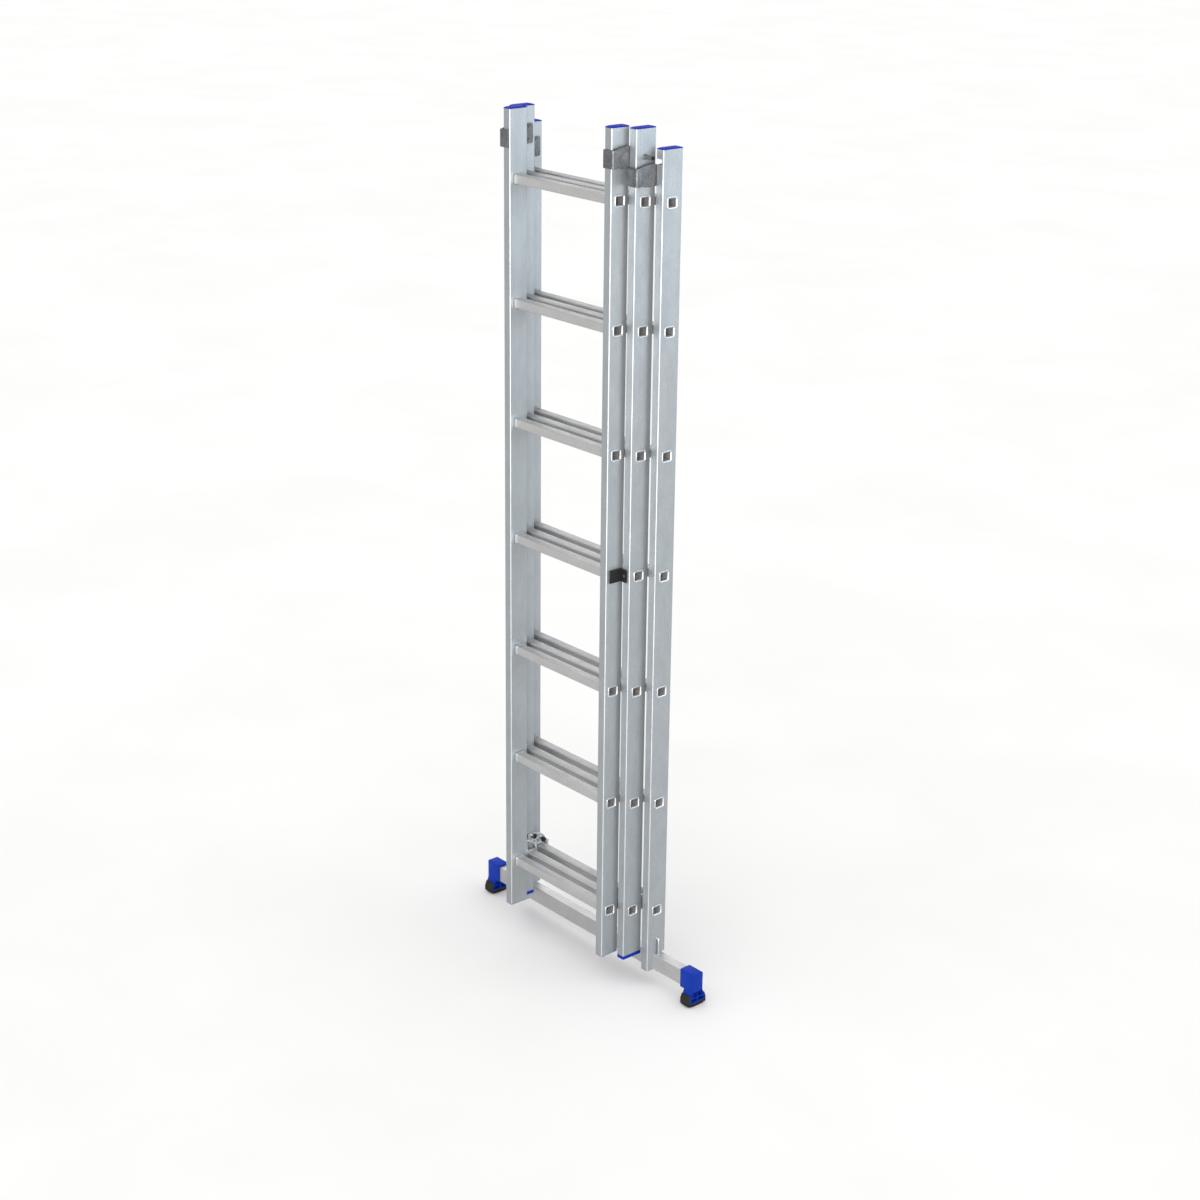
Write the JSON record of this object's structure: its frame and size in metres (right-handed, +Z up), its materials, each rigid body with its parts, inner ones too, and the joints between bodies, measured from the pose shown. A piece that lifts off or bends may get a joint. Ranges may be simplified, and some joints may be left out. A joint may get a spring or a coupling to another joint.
{
  "type": "extension ladder",
  "caption": "Nested multi-section aluminium ladder with rung hooks, guide brackets, safety latches and a wide stabiliser bar on rubber-soled feet.",
  "frame": {"origin": "on the floor under the middle of the object's box", "axes": "+Z up along the stiles, +X to the right of a climber who faces the ladder, -Y towards that climber"},
  "size_m": [0.776, 0.1526, 2.0382],
  "materials": {
    "aluminium_extrusion": "satin mill finish, drawn along its length",
    "blue_plastic": "semi-gloss moulded",
    "galvanised_steel": "dull zinc plate",
    "black_plastic": "matt moulded",
    "blackened_steel": "black passivated",
    "black_rubber": "matt moulded"
  },
  "bodies": {
    "base_section": {"base_left_stile": "aluminium_extrusion", "base_right_stile": "aluminium_extrusion", "base_rung_1": "aluminium_extrusion", "base_rung_2": "aluminium_extrusion", "base_rung_3": "aluminium_extrusion", "base_rung_4": "aluminium_extrusion", "base_rung_5": "aluminium_extrusion", "base_rung_6": "aluminium_extrusion", "base_rung_7": "aluminium_extrusion", "base_left_cap": "blue_plastic", "base_right_cap": "blue_plastic", "base_left_guide": "galvanised_steel", "base_right_guide": "galvanised_steel", "base_rivets": "galvanised_steel", "stabiliser_bar": "aluminium_extrusion", "bar_hook_bolts": "galvanised_steel", "bar_nuts": "blackened_steel", "left_foot": "blue_plastic", "right_foot": "blue_plastic", "left_sole": "black_rubber", "right_sole": "black_rubber"},
    "mid_section": {"mid_left_stile": "aluminium_extrusion", "mid_right_stile": "aluminium_extrusion", "mid_rung_1": "aluminium_extrusion", "mid_rung_2": "aluminium_extrusion", "mid_rung_3": "aluminium_extrusion", "mid_rung_4": "aluminium_extrusion", "mid_rung_5": "aluminium_extrusion", "mid_rung_6": "aluminium_extrusion", "mid_rung_7": "aluminium_extrusion", "mid_left_cap": "blue_plastic", "mid_right_cap": "blue_plastic", "mid_boots": "blue_plastic", "mid_left_guide": "galvanised_steel", "mid_right_guide": "galvanised_steel", "mid_guide_clips": "black_plastic", "mid_left_hook": "galvanised_steel", "mid_right_hook": "galvanised_steel", "latch_pivot_bolts": "blackened_steel", "hinge_pins": "galvanised_steel", "mid_rivets": "galvanised_steel"},
    "top_section": {"top_left_stile": "aluminium_extrusion", "top_right_stile": "aluminium_extrusion", "top_rung_1": "aluminium_extrusion", "top_rung_2": "aluminium_extrusion", "top_rung_3": "aluminium_extrusion", "top_rung_4": "aluminium_extrusion", "top_rung_5": "aluminium_extrusion", "top_rung_6": "aluminium_extrusion", "top_rung_7": "aluminium_extrusion", "top_left_cap": "blue_plastic", "top_right_cap": "blue_plastic", "top_end_plugs": "blue_plastic", "top_left_hook": "galvanised_steel", "top_right_hook": "galvanised_steel", "top_rivets": "galvanised_steel"},
    "latch_left": {"left_latch": "galvanised_steel", "left_latch_knob": "black_plastic"},
    "latch_right": {"right_latch": "galvanised_steel", "right_latch_knob": "black_plastic"}
  },
  "joints": [
    {"name": "mid_slide", "type": "slide", "parent": "base_section", "child": "mid_section", "axis": [0, 0, 1], "range_m": [0, 1.12]},
    {"name": "top_slide", "type": "slide", "parent": "mid_section", "child": "top_section", "axis": [0, 0, 1], "range_m": [0, 1.12]},
    {"name": "left_latch_hinge", "type": "hinge", "parent": "mid_section", "child": "latch_left", "pos_m": [-0.185, 0.01955, 0.2352], "axis": [1, 0, 0], "range_deg": [0, 60]},
    {"name": "right_latch_hinge", "type": "hinge", "parent": "mid_section", "child": "latch_right", "pos_m": [0.185, 0.01955, 0.2352], "axis": [1, 0, 0], "range_deg": [0, 60]}
  ]
}
